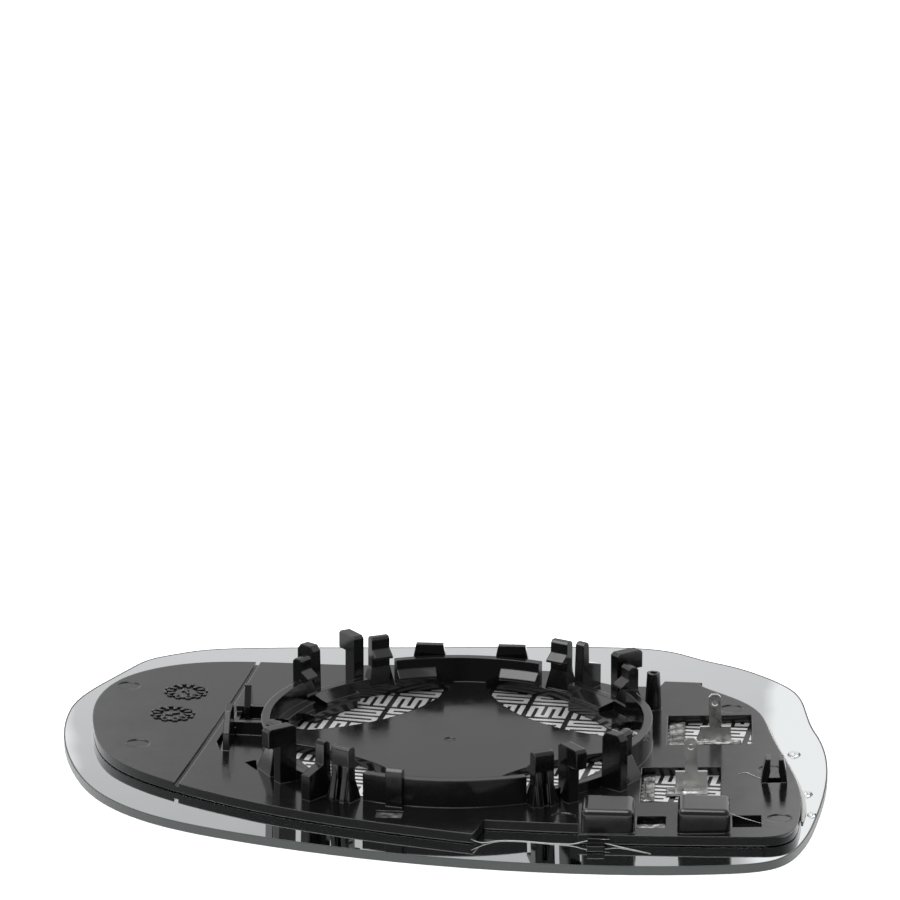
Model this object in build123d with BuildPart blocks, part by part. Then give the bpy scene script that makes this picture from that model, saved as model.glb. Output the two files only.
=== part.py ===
from build123d import *
import os
from math import asin, atan2, cos, degrees, hypot, radians, sin, sqrt

os.makedirs("parts", exist_ok=True)

# Heated glass of a car door mirror, lying on its convex face with the clip plate up.
# Origin: the lowest point of the glass, under the middle of its outline. Millimetres.

# Layers, upwards
glass_thick = 1.9
film_thick = 0.2
track_thick = 0.1
plate_thick = 2.1
face_radius = 1650.0  # convex reflecting face

# Frame of the adjuster seat: every moulded feature is laid out square to it
seat_x = 3.9
seat_y = 2.6
seat_turn = -4.5
ring_radius = 45.0

# Outlines, seen from the clip side. The plate's far edge stands clear of the seat ring.
glass_points = [
    (87.33, 9.1), (86.75, 23.4), (85.4, 38.2), (78.6, 50.9), (72.3, 58.1), (64.9, 64.2),
    (59.2, 69.6), (40.2, 75.5), (-10.2, 76.74), (-49.1, 74.4), (-60.2, 71.7), (-66.9, 67.9),
    (-71.6, 64.4), (-76.8, 55.9), (-87.5, 28.6), (-87.93, 23.6), (-82.6, -14.0),
    (-75.3, -30.5), (-63.3, -43.4), (-44.8, -53.4), (34.9, -75.3), (58.0, -77.0),
    (69.8, -74.8), (76.1, -65.6), (81.1, -49.5),
]
plate_far_margin = 10.0
plate_far_y = seat_y + ring_radius + plate_far_margin
plate_left_points = [
    (-11.9, plate_far_y), (-44.9, plate_far_y + 0.6), (-62.9, plate_far_y - 2.4),
    (-76.0, plate_far_y - 13.1), (-81.4, 28.0), (-80.4, 8.0), (-74.2, -12.1), (-58.5, -28.2),
    (-25.9, -46.9), (7.0, -59.8),
]
plate_notch_points = [(9.6, -50.5), (29.6, -53.9), (29.4, -60.8)]
plate_right_points = [
    (68.0, -66.0), (76.7, -55.5), (78.9, -30.0), (76.2, 6.0), (71.1, 27.9), (62.8, 40.4),
    (54.5, 43.1),
]
plate_far_points = [(53.0, 39.4), (43.0, 40.6), (27.0, plate_far_y - 5.1)]
film_inset = 1.2
edge_steps = 12  # spans in which a drawn-in curve is traced

# Seat ring and bridge disc, with arcs given in degrees round the seat
ring_wall = 2.0
ring_low = 7.2  # height of its rim between the clips
ring_high = 11.0  # height of the four guiding arcs
high_arcs = [(67, 114), (150, 207), (247, 294), (-27, 27)]
relief_arcs = [(56, 67), (114, 123.5), (236.5, 247), (294, 303)]
relief_clear = 1.0
lens_radius = 45.0
lens_reach = 23.5  # from the seat's centre to the nearest point of an opening
pad_arcs = [(22, 50), (133, 156), (203, 236), (306, 338)]
pad_width = 5.0
ramp_starts = [34, 131]
ramp_arc = 16.0
ramp_width = 4.4
ramp_low = 1.2  # height of a ramp's inner edge over the pad
wall_lip_starts = [67, 101, 247, 281]
wall_lip_arc = 13.0
wall_lip_reach = 1.9
wall_lip_drop = 4.7  # underside of a lip below the top of its arc
wall_lip_edge = 0.6
ledge_arcs = [(150, 170), (-20, -15)]
ledge_top = 6.4
ledge_width = 2.5
tooth_angle = 181
tooth_reach = 2.5
tooth_width = 1.8
tooth_drop = 2.8  # its tip below the top of the ring
tooth_tip = 0.6

# Clips round the seat, by angle
catch_angles = [61, 118.5, 241.5, 298]
corner_catch_angles = [31, 148, 211, 328]
hook_angles = [126, 305.5, 38, 220]
fin_angles = [54, 235]
corner_fin_angles = [142, 321]
clip_bite = 0.2  # how far clips and ribs reach into what carries them
clip_corner = 0.6  # corners cut off their tops
catch_height = 16.8
corner_catch_height = 16.2
corner_catch_inset = 0.4
catch_width = 4.6
corner_catch_width = 3.8
catch_depth = 2.5
catch_lip = 2.1
catch_lip_top = 3.0  # start of the lip's slope below the clip's top
catch_lip_under = 5.0  # underside of the lip below the clip's top
catch_lip_edge = 0.5
catch_rib_offset = 1.4
catch_rib_thick = 1.2
catch_rib_spread = 1.8
catch_rib_top = 12.5
slit_width = 1.0
slit_depth = 1.2
flare_high = 5.5
flare_spread = 1.1
corner_flare_high = 6.5
corner_flare_spread = 2.1
hook_height = 17.8
hook_width = 2.6
hook_depth = 4.2
hook_reach = 3.0
hook_head = 4.3
fin_height = 17.2
fin_width = 2.4
fin_foot = 7.4
fin_stem = 2.8
fin_step = 12.0  # height of the low shoulder behind a fin
fin_step_slope = 1.4
corner_fin_foot = 5.6

# Heater windows, as (p, q) centre and size in the seat's frame
window_far = (58.15, 9.75, 19.5, 20.5)
window_near = (51.85, -27.75, 17.7, 23.7)

# Wire hoods as (p, q) centres, with a wire slot at the right of each
hood_places = [(36.5, -55.6), (56.9, -55.6)]
hood_width = 11.2
hood_depth = 10.6
hood_rise = 5.4
hood_round = 1.3
hood_wall = 1.5
slot_width = 6.2
slot_depth = 8.0
slot_gap = 0.5
slot_shift = 2.8  # its middle is this much further than the hood's
side_slot_angle = 257.6
side_slot_gap = 6.5  # from the ring to the middle of the slot at its left
side_slot_width = 5.9
side_slot_depth = 4.7
film_notch_gap = 0.8
film_notch_long = 20.0
tongue_place = (34.25, -63.4)
tongue_width = 3.7
tongue_long = 6.2
tongue_thick = 1.2

# Stops outside the ring: a pair of tapered tabs with a low bar, and a single one
stop_p = 10.0
stop_gap = 1.6  # from the ring to the far face of a tab
stop_base = 10.5
stop_tip = 6.6
stop_height = 13.5
stop_thick = 1.6
bar_gap = 4.0
bar_half = 6.0
bar_thick = 1.2
bar_height = 7.5
near_stop_angle = 257
near_stop_width = 3.8
near_stop_thick = 1.9
near_stop_height = 13.3

# Bracket at the left of the ring: two bars, a pointed fin, a leaning blade and a web
bracket_gap = 7.0  # from the ring to the middle of its wall
bracket_thick = 1.5
bar_places = [12.0, 0.5]
bracket_bar_thick = 1.5
bracket_bar_height = 8.0
web_height = 6.6
web_low_end = -3.0
bracket_fin_gap = 5.0
bracket_fin_q = 12.5
bracket_fin_base = 6.0
bracket_fin_middle = 5.0
bracket_fin_tip = 0.8
bracket_fin_height = 13.0
blade_ends = (-12.0, -2.6)
blade_height = 13.8
blade_low_end = 8.8
blade_tip = 3.6
# Corners of the core holes, measured from the left end of the ring
core_holes = [
    [(-9.4, 3.8), (-10.0, -6.1), (-8.2, -12.1)],
    [(-1.6, -19.0), (1.8, -24.1), (0.6, -17.0)],
]

# Locating post, and the pair of wire tongs
post_angle = 29.6
post_gap = 6.4  # from the ring to the post's axis
post_rise = 8.8
post_foot_d = 4.0
post_foot_high = 0.6
post_top_d = 3.1
post_bore_d = 1.7
post_bore_deep = 5.0
tongs_place = (72.4, -25.6)
tongs_gap = 3.4
tongs_long = 3.6
tongs_rise = 5.4
prong_foot = 1.3
prong_tip = 1.1
prong_knee = 2.8  # height of the bend below the tips
prong_lean = 0.8

# Blade terminals, 2.8 mm tabs, placed from the middle of their windows
tab_width = 2.8
tab_thick = 0.8
tab_long = 7.8
tab_lead = 0.7
shoulder_width = 7.1
shoulder_high = 3.7
foot_long = 6.4
latch_hole_d = 1.4
latch_drop = 2.1
terminal_far_shift = (1.4, -2.45)
terminal_near_shift = (2.35, 4.05)
seat_clearance = 0.06  # under a terminal's flat foot, over the print
foot_thick = 0.5
crimp_long = 4.4
crimp_wide = 1.9
crimp_rise = 0.5
crimp_taper = 20
crimp_place = 0.6  # share of the foot's length

# Hinge groove and moulder's marks, in the seat's frame
groove_ends = [(-52.8, 53.6), (-59.9, -38.3)]
groove_width = 1.1
groove_depth = 0.8
ejector_places = [
    (-81.4, 29.4), (-72.6, -10.1), (73.0, -51.0), (63.1, 24.6), (26.6, -49.4), (71.6, -17.9),
]
ejector_d = 5.4
gate_place = (-1.8, 2.2)
gate_d = 2.7
mark_depth = 0.2
clock_places = [(-67.2, 27.4), (-67.9, 11.4)]
clock_d = 10.0
clock_core_d = 5.0

# Heater print: columns of loops, with strips across and strips along in turn
print_turn = -8.0
strip_width = 1.2
strip_pitch = 2.35
loop_width = 9.6
loop_strips = 5
short_loop_high = 7.4
loop_gap = 1.3
print_margin = 0.15
print_lift = 0.02  # flat loops clear the curved film by this much at their middles
print_start = -47.0
print_left = -5
print_columns = 13
print_rows = 10

# Drops of clear glue on the glass, as (x, y, radius)
glue_places = {
    "glue_drop_far": (80.9, -5.4, 1.55),
    "glue_drop_middle": (80.9, -32.6, 1.4),
    "glue_drop_near": (80.6, -46.5, 1.15),
}
glue_flatness = 0.62  # height of a drop as a share of its radius

# Worked out from the values above
film_base = glass_thick
plate_base = film_base + film_thick
plate_top = plate_base + plate_thick
ring_inner = ring_radius - ring_wall
stop_q = ring_radius + stop_gap
bar_q = ring_radius + bar_gap
bracket_p = -ring_radius - bracket_gap
bracket_fin_p = -ring_radius - bracket_fin_gap
bowl_reach = 100.0  # half size of the layers before they are cut to an outline
bowl_angle = degrees(asin(bowl_reach / face_radius))
tool_height = 40.0
bite = 0.9  # how far a moulded feature reaches into the plate
skim = 1.0  # how far a cutting layer stands over the plate

seat = Plane(
    origin=(seat_x, seat_y, 0),
    x_dir=(cos(radians(seat_turn)), sin(radians(seat_turn)), 0),
    z_dir=(0, 0, 1),
)
seat_axis = Axis((seat_x, seat_y, 0), (0, 0, 1))
bowl_axis = Axis((0, 0, face_radius), (1, 0, 0))


def level(height, x, y=0.0):
    """Height at a place in plan of the curved layer that lies this high at the origin."""
    return face_radius - sqrt((face_radius - height) ** 2 - x**2 - y**2)


def polar(radius, angle):
    """Point of the seat's frame at a radius and an angle."""
    return radius * cos(radians(angle)), radius * sin(radians(angle))


def plan(p, q):
    """Position on the floor of a point given in the seat's frame."""
    turn = radians(seat_turn)
    return (
        seat_x + p * cos(turn) - q * sin(turn),
        seat_y + p * sin(turn) + q * cos(turn),
    )


def foot_at(p, q):
    """Height inside the plate where a feature at a point of the seat's frame starts."""
    return level(plate_top, *plan(p, q)) - bite


def ring_foot(angle, radius=ring_radius):
    """Height inside the plate where a feature on the ring starts."""
    return foot_at(*polar(radius, angle))


def spoke(angle, across=0.0):
    """Upright plane through the seat's axis: X outwards, Y up, shifted sideways by across."""
    turn = radians(angle + seat_turn)
    side_x = sin(turn)
    side_y = -cos(turn)
    return Plane(
        origin=(seat_x + across * side_x, seat_y + across * side_y, 0),
        x_dir=(cos(turn), sin(turn), 0),
        z_dir=(side_x, side_y, 0),
    )


def footing(angle, radius):
    """Level plane inside the plate on the ring: X outwards."""
    turn = radians(angle + seat_turn)
    x, y = plan(*polar(radius, angle))
    return Plane(
        origin=(x, y, ring_foot(angle, radius)),
        x_dir=(cos(turn), sin(turn), 0),
        z_dir=(0, 0, 1),
    )


def row_plane(q):
    """Upright plane across the seat at q: X is p, Y is up, and it faces the near side."""
    x, y = plan(0, q)
    return Plane(origin=(x, y, 0), x_dir=seat.x_dir, z_dir=-seat.y_dir)


def column_plane(p):
    """Upright plane along the seat at p: X is q, Y is up, and it faces the right side."""
    x, y = plan(p, 0)
    return Plane(origin=(x, y, 0), x_dir=seat.y_dir, z_dir=seat.x_dir)


def footed(points, foot):
    """Points of a side view on an upright plane, with their zero heights set to the foot."""
    return [(along, height if height > 0 else foot) for along, height in points]


def layer(low, high):
    """Section of the curved layer between two heights, on the plane where its sweep starts."""
    start = radians(bowl_angle)
    tilted = Plane(origin=bowl_axis.position, x_dir=(1, 0, 0), z_dir=(0, -cos(start), sin(start)))
    with BuildSketch(tilted, mode=Mode.PRIVATE) as section:
        with BuildLine():
            lower = CenterArc((0, 0), face_radius - low, -90 - bowl_angle, 2 * bowl_angle)
            upper = CenterArc((0, 0), face_radius - high, -90 - bowl_angle, 2 * bowl_angle)
            Line(lower @ 0, upper @ 0)
            Line(lower @ 1, upper @ 1)
        make_face()
    return section.sketch


def curved_slab(outline, low, high):
    """Piece of a layer inside an outline, made outside the part that takes it."""
    with BuildPart(mode=Mode.PRIVATE) as slab:
        revolve(layer(low, high), axis=bowl_axis, revolution_arc=2 * bowl_angle)
        extrude(outline, amount=tool_height, mode=Mode.INTERSECT)
    return slab.part


def plate_outline():
    """Edge of the clip plate: curved runs joined at the notch and the raised corner."""
    with BuildSketch(mode=Mode.PRIVATE) as outline:
        with BuildLine():
            left = Spline(*plate_left_points)
            notch = Polyline(left @ 1, *plate_notch_points)
            Line(notch @ 1, plate_right_points[0])
            right = Spline(*plate_right_points, tangents=((1, -0.08), (-1, 0.2)))
            Polyline(right @ 1, *plate_far_points, left @ 0)
        make_face()
    return outline.sketch


def sector(inner, outer, start, end):
    """Piece of a flat ring about the seat's axis, in the seat's frame."""
    with BuildSketch(mode=Mode.PRIVATE) as piece:
        with BuildLine():
            outside = CenterArc((0, 0), outer, start, end - start)
            inside = CenterArc((0, 0), inner, start, end - start)
            Line(outside @ 0, inside @ 0)
            Line(outside @ 1, inside @ 1)
        make_face()
    return piece.sketch


def heater_openings(margin=0.0):
    """The four lens-shaped openings of the seat and the two heater windows."""
    with BuildSketch(seat, mode=Mode.PRIVATE) as openings:
        with PolarLocations(lens_reach + lens_radius, 4, start_angle=45):
            Circle(lens_radius - margin)
        Circle(ring_inner - margin, mode=Mode.INTERSECT)
        for start, end in pad_arcs:
            add(sector(ring_inner - pad_width - margin, ring_radius, start, end), mode=Mode.SUBTRACT)
        for p, q, width, depth in (window_far, window_near):
            with Locations((p, q)):
                Rectangle(width - 2 * margin, depth - 2 * margin)
    return openings.sketch


def slot_places():
    """Centre and size of each wire slot: one beside each hood, and one left of the ring."""
    beside_hood = (hood_width + slot_width) / 2 + slot_gap
    places = [(p + beside_hood, q + slot_shift, slot_width, slot_depth) for p, q in hood_places]
    side_p, side_q = polar(ring_radius + side_slot_gap, side_slot_angle)
    return places + [(side_p, side_q, side_slot_width, side_slot_depth)]


def catch_profile(radius, height):
    """Side view of an inward snap catch: a stem with a wedge-shaped lip near its top."""
    inner = radius - clip_bite
    outer = inner + catch_depth
    lip = inner - catch_lip
    return [
        (inner, 0),
        (outer, 0),
        (outer, height - clip_corner),
        (outer - clip_corner, height),
        (inner + clip_corner, height),
        (inner, height - clip_corner),
        (inner, height - catch_lip_top),
        (lip, height - catch_lip_under + catch_lip_edge),
        (lip, height - catch_lip_under),
        (inner, height - catch_lip_under),
    ]


def catch_rib_profile(radius):
    """Side view of a stiffening rib that flares towards the foot of a catch."""
    outer = radius - clip_bite + catch_depth
    return [
        (outer - clip_bite, 0),
        (outer + catch_rib_spread, 0),
        (outer, catch_rib_top),
        (outer - clip_bite, catch_rib_top),
    ]


def hook_profile(radius):
    """Side view of an outward hook: a stem with a heavy head that overhangs outwards."""
    stem = radius + hook_depth
    tip = stem + hook_reach
    return [
        (radius, 0),
        (stem, 0),
        (stem, hook_height - hook_head),
        (tip, hook_height - hook_head),
        (tip, hook_height - clip_corner),
        (tip - clip_corner, hook_height),
        (radius + clip_corner, hook_height),
        (radius - clip_bite, hook_height - clip_corner),
    ]


def fin_profile(radius):
    """Side view of a guiding fin with a low shoulder behind it."""
    return [
        (radius, 0),
        (radius + fin_foot, 0),
        (radius + fin_foot, fin_step - fin_step_slope),
        (radius + fin_stem, fin_step),
        (radius + fin_stem - clip_bite, fin_height - clip_corner),
        (radius + fin_stem - clip_corner, fin_height),
        (radius + 2 * clip_corner, fin_height),
        (radius + clip_corner, fin_height - clip_corner),
    ]


def corner_fin_profile(radius):
    """Side view of a full-height corner fin."""
    outer = radius + corner_fin_foot
    return [
        (radius, 0),
        (outer, 0),
        (outer - clip_bite, hook_height - 2 * clip_corner),
        (outer - 2 * clip_corner, hook_height),
        (radius + 2 * clip_corner, hook_height),
        (radius + clip_bite, hook_height - 2 * clip_corner),
    ]


def hood(p, q):
    """Rounded hood over the wires, open towards the slot at its right."""
    foot = foot_at(p, q)
    top = foot + bite + hood_rise
    with BuildPart(mode=Mode.PRIVATE) as shell:
        with BuildSketch(seat.offset(foot)):
            with Locations((p, q)):
                Rectangle(hood_width, hood_depth)
        extrude(amount=top - foot)
        fillet(shell.edges().filter_by(Axis.Z), hood_round)
        fillet(shell.edges().group_by(Axis.Z)[-1], hood_round)
        with BuildSketch(seat.offset(foot)):
            with Locations((p + hood_wall, q)):
                Rectangle(hood_width, hood_depth - 2 * hood_wall)
        extrude(amount=top - hood_wall - foot, mode=Mode.SUBTRACT)
    return shell.part


def meander(width, height, strips):
    """Outline of one heater loop that runs to and fro, with its corner at the origin."""
    pitch = (height - strip_width) / (strips - 1)
    there = [(0, 0), (width, 0)]
    back = [(0, strip_width)]
    for row in range(1, strips, 2):
        low = row * pitch
        there += [(width, low + strip_width), (strip_width, low + strip_width)]
        there += [(strip_width, low + pitch), (width, low + pitch)]
        back += [(width - strip_width, strip_width + low - pitch), (width - strip_width, low)]
        back += [(0, low), (0, low + pitch + strip_width)]
    there.append((width, height))
    return there + back[::-1]


def print_loops():
    """Middle and outline of every loop of the heater print, column by column."""
    tall_high = (loop_strips - 1) * strip_pitch + strip_width
    tall_loop = meander(loop_width, tall_high, loop_strips)
    short_loop = [(along, across) for across, along in meander(short_loop_high, loop_width, loop_strips)]
    loops = []
    for column in range(print_left, print_left + print_columns):
        middle = column * (loop_width + loop_gap) + loop_width / 2
        low = print_start
        for row in range(print_rows):
            outline, high = (short_loop, short_loop_high) if row % 2 else (tall_loop, tall_high)
            loops.append(((middle, low + high / 2), outline))
            low += high + loop_gap
    return loops


def resting_planes(x, y, height):
    """Planes on a curved layer, square to it: the ground, and an upright one across."""
    z = level(height, x, y)
    up = Vector(-x, -y, face_radius - z).normalized()
    across = (seat.x_dir - up * seat.x_dir.dot(up)).normalized()
    ground = Plane(origin=(x, y, z), x_dir=across, z_dir=up)
    standing = Plane(origin=(x, y, z), x_dir=across, z_dir=across.cross(up))
    return ground, standing


def loop_plane(along, across):
    """Plane on the film under the middle of a loop, square to the film and turned with the print."""
    turn = radians(print_turn)
    p = along * cos(turn) - across * sin(turn)
    q = along * sin(turn) + across * cos(turn)
    ground, standing = resting_planes(*plan(p, q), plate_base + print_lift)
    aside = ground.x_dir * cos(turn) + ground.y_dir * sin(turn)
    return Plane(origin=ground.origin, x_dir=aside, z_dir=ground.z_dir)


with BuildPart() as mirror_glass:
    revolve(layer(0, glass_thick), axis=bowl_axis, revolution_arc=2 * bowl_angle)
    with BuildSketch():
        with BuildLine():
            Spline(*glass_points, periodic=True)
        make_face()
    extrude(amount=tool_height, mode=Mode.INTERSECT)
mirror_glass.part.label = "mirror_glass"
export_step(mirror_glass.part, "parts/mirror_glass.step")


# The film's edge is the plate's, drawn in and traced again by plain curves. It is cut
# back to its edge beneath the first wire slot and the slot left of the ring.
inset_outline = offset(plate_outline(), amount=-film_inset, kind=Kind.INTERSECTION)
with BuildSketch() as film_outline:
    with BuildLine():
        for edge in inset_outline.edges():
            if edge.geom_type == GeomType.LINE:
                add(edge)
            else:
                Spline(*[edge @ (step / edge_steps) for step in range(edge_steps + 1)])
    make_face()
bare_slots = [slot_places()[0], slot_places()[-1]]
with BuildPart() as heater_film:
    revolve(layer(film_base, plate_base), axis=bowl_axis, revolution_arc=2 * bowl_angle)
    extrude(film_outline.sketch, amount=tool_height, mode=Mode.INTERSECT)
    with BuildSketch(seat):
        for p, q, width, depth in bare_slots:
            with Locations((p, q + depth / 2 + film_notch_gap)):
                Rectangle(width + 2 * film_notch_gap, film_notch_long, align=(Align.CENTER, Align.MAX))
    extrude(amount=tool_height, mode=Mode.SUBTRACT)
heater_film.part.label = "heater_film"
export_step(heater_film.part, "parts/heater_film.step")


# Each loop is a flat patch on the film, and the print is cut to where it shows
print_shown = heater_openings(print_margin)
with BuildPart() as heater_tracks:
    for middle, outline in print_loops():
        with BuildSketch(loop_plane(*middle)):
            Polygon(*outline, align=(Align.CENTER, Align.CENTER))
    extrude(amount=track_thick)
    extrude(print_shown, amount=tool_height, mode=Mode.INTERSECT)
heater_tracks.part.label = "heater_tracks"
export_step(heater_tracks.part, "parts/heater_tracks.step")


# Tools of the clip plate: its groove, its marks, the tongue and the two hoods
with BuildSketch() as groove_line:
    with BuildLine():
        Polyline(plan(*groove_ends[0]), plan(*groove_ends[1]))
    trace(line_width=groove_width)
with BuildSketch(seat) as marks:
    with Locations(*ejector_places):
        Circle(ejector_d / 2)
    with Locations(gate_place):
        Circle(gate_d / 2)
    with Locations(*clock_places):
        Circle(clock_d / 2)
        Circle(clock_core_d / 2, mode=Mode.SUBTRACT)
with BuildSketch(seat) as tongue:
    with Locations(tongue_place):
        Rectangle(tongue_width, tongue_long)
groove_tool = curved_slab(groove_line.sketch, plate_top - groove_depth, plate_top + skim)
mark_tool = curved_slab(marks.sketch, plate_top - mark_depth, plate_top + skim)
tongue_slab = curved_slab(tongue.sketch, plate_base, plate_base + tongue_thick)
hoods = [hood(p, q) for p, q in hood_places]


with BuildPart() as carrier_plate:
    revolve(layer(plate_base, plate_top), axis=bowl_axis, revolution_arc=2 * bowl_angle)
    extrude(plate_outline(), amount=tool_height, mode=Mode.INTERSECT)

    # Openings over the heater, wire slots, core holes and the hole between the tongs
    extrude(heater_openings(), amount=tool_height, mode=Mode.SUBTRACT)
    with BuildSketch(seat):
        for p, q, width, depth in slot_places():
            with Locations((p, q)):
                Rectangle(width, depth)
        for corners in core_holes:
            Polygon(*[(p - ring_radius, q) for p, q in corners], align=None)
        with Locations(tongs_place):
            Rectangle(tongs_gap, tongs_long)
    extrude(amount=tool_height, mode=Mode.SUBTRACT)

    # Locating post with its bore: a short straight foot, then a slow taper
    post_place = polar(ring_radius + post_gap, post_angle)
    post_foot = foot_at(*post_place)
    post_shoulder = post_foot + bite + post_foot_high
    post_top = post_foot + bite + post_rise
    post_taper = degrees(atan2((post_foot_d - post_top_d) / 2, post_top - post_shoulder))
    with BuildSketch(seat.offset(post_foot)):
        with Locations(post_place):
            Circle(post_foot_d / 2)
    extrude(amount=post_shoulder - post_foot)
    with BuildSketch(seat.offset(post_shoulder)):
        with Locations(post_place):
            Circle(post_foot_d / 2)
    extrude(amount=post_top - post_shoulder, taper=post_taper)
    with BuildSketch(seat.offset(post_top)):
        with Locations(post_place):
            Circle(post_bore_d / 2)
    extrude(amount=-post_bore_deep, mode=Mode.SUBTRACT)

    # Groove, marks, tongue and hoods
    add([groove_tool, mark_tool], mode=Mode.SUBTRACT)
    add([tongue_slab, *hoods])

    # Seat ring: low wall all round with its four high arcs, cut through beside the catches
    ring_start = level(plate_top, ring_inner - hypot(seat_x, seat_y)) - bite
    with BuildSketch(seat.offset(ring_start)):
        Circle(ring_radius)
        Circle(ring_inner, mode=Mode.SUBTRACT)
    extrude(amount=ring_low - ring_start)
    with BuildSketch(seat.offset(ring_start)):
        for start, end in high_arcs:
            add(sector(ring_inner, ring_radius, start, end))
    extrude(amount=ring_high - ring_start)
    for start, end in relief_arcs:
        with BuildSketch(seat.offset(ring_foot(start) + bite)):
            add(sector(ring_inner - relief_clear, ring_radius + relief_clear, start, end))
    extrude(amount=tool_height, mode=Mode.SUBTRACT)
    for start, end in ledge_arcs:
        with BuildSketch(seat.offset(ledge_top)):
            add(sector(ring_inner - ledge_width, ring_inner + clip_bite, start, end))
    extrude(amount=ring_start - ledge_top)
    lip_under = ring_high - wall_lip_drop
    for start in wall_lip_starts:
        lip = [
            (ring_inner + clip_bite, lip_under + wall_lip_edge + wall_lip_reach),
            (ring_inner - wall_lip_reach, lip_under + wall_lip_edge),
            (ring_inner - wall_lip_reach, lip_under),
            (ring_inner + clip_bite, lip_under),
        ]
        with BuildSketch(spoke(start)):
            Polygon(*footed(lip, lip_under), align=None)
    revolve(axis=seat_axis, revolution_arc=wall_lip_arc)
    for start in ramp_starts:
        foot = ring_foot(start, ring_inner)
        ramp = [
            (ring_inner + clip_bite, 0),
            (ring_inner + clip_bite, ring_low),
            (ring_inner - ramp_width, foot + bite + ramp_low),
            (ring_inner - ramp_width, 0),
        ]
        with BuildSketch(spoke(start)):
            Polygon(*footed(ramp, foot), align=None)
    revolve(axis=seat_axis, revolution_arc=ramp_arc)
    tooth_top = ring_high - tooth_drop
    tooth = [
        (ring_inner + clip_bite, tooth_top + tooth_tip),
        (ring_inner - tooth_reach, tooth_top),
        (ring_inner - tooth_reach, tooth_top - tooth_tip),
        (ring_inner + clip_bite, tooth_top - tooth_reach),
    ]
    with BuildSketch(spoke(tooth_angle)):
        Polygon(*footed(tooth, tooth_top), align=None)
    extrude(amount=tooth_width / 2, both=True)

    # Flared feet of the catches
    stem_middle = catch_depth / 2 - clip_bite
    for angles, radius, width, spread, high in (
        (catch_angles, ring_radius, catch_width, flare_spread, flare_high),
        (
            corner_catch_angles,
            ring_radius - corner_catch_inset,
            corner_catch_width,
            corner_flare_spread,
            corner_flare_high,
        ),
    ):
        for angle in angles:
            with BuildSketch(footing(angle, radius + stem_middle)):
                Rectangle(catch_depth + 2 * spread, width + 2 * spread)
        extrude(amount=high, taper=degrees(atan2(spread, high)))

    # Clips round the ring
    for angle in catch_angles:
        with BuildSketch(spoke(angle)):
            Polygon(*footed(catch_profile(ring_radius, catch_height), ring_foot(angle)), align=None)
    extrude(amount=catch_width / 2, both=True)
    for angle in catch_angles:
        for side in (-catch_rib_offset, catch_rib_offset):
            with BuildSketch(spoke(angle, side)):
                Polygon(*footed(catch_rib_profile(ring_radius), ring_foot(angle)), align=None)
    extrude(amount=catch_rib_thick / 2, both=True)
    slit_inner = ring_radius - clip_bite + catch_depth - slit_depth
    slit_outer = slit_inner + slit_depth + catch_rib_spread + clip_bite
    for angle in catch_angles:
        slit = [(slit_inner, 0), (slit_outer, 0), (slit_outer, catch_rib_top), (slit_inner, catch_rib_top)]
        with BuildSketch(spoke(angle)):
            Polygon(*footed(slit, ring_foot(angle) + bite + clip_bite), align=None)
    extrude(amount=slit_width / 2, both=True, mode=Mode.SUBTRACT)
    for angle in corner_catch_angles:
        profile = catch_profile(ring_radius - corner_catch_inset, corner_catch_height)
        with BuildSketch(spoke(angle)):
            Polygon(*footed(profile, ring_foot(angle)), align=None)
    extrude(amount=corner_catch_width / 2, both=True)
    for angle in hook_angles:
        with BuildSketch(spoke(angle)):
            Polygon(*footed(hook_profile(ring_radius), ring_foot(angle)), align=None)
    extrude(amount=hook_width / 2, both=True)
    for angle in fin_angles:
        with BuildSketch(spoke(angle)):
            Polygon(*footed(fin_profile(ring_radius), ring_foot(angle)), align=None)
    for angle in corner_fin_angles:
        with BuildSketch(spoke(angle)):
            Polygon(*footed(corner_fin_profile(ring_radius), ring_foot(angle)), align=None)
    extrude(amount=fin_width / 2, both=True)

    # Stops outside the ring
    for side in (-stop_p, stop_p):
        tab = [
            (side - stop_base / 2, 0),
            (side + stop_base / 2, 0),
            (side + stop_tip / 2, stop_height),
            (side - stop_tip / 2, stop_height),
        ]
        with BuildSketch(row_plane(stop_q)):
            Polygon(*footed(tab, foot_at(side, stop_q)), align=None)
    extrude(amount=stop_thick)
    bar = [(-bar_half, 0), (bar_half, 0), (bar_half, bar_height), (-bar_half, bar_height)]
    with BuildSketch(row_plane(bar_q)):
        Polygon(*footed(bar, foot_at(0, bar_q)), align=None)
    extrude(amount=bar_thick / 2, both=True)
    stop_inner = ring_radius - 2 * clip_bite
    stop_outer = stop_inner + near_stop_thick
    near_stop = [
        (stop_inner, 0),
        (stop_outer, 0),
        (stop_outer, near_stop_height - clip_corner),
        (stop_outer - clip_corner, near_stop_height),
        (stop_inner + clip_corner, near_stop_height),
        (stop_inner, near_stop_height - clip_corner),
    ]
    with BuildSketch(spoke(near_stop_angle)):
        Polygon(*footed(near_stop, ring_foot(near_stop_angle)), align=None)
    extrude(amount=near_stop_width / 2, both=True)

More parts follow.
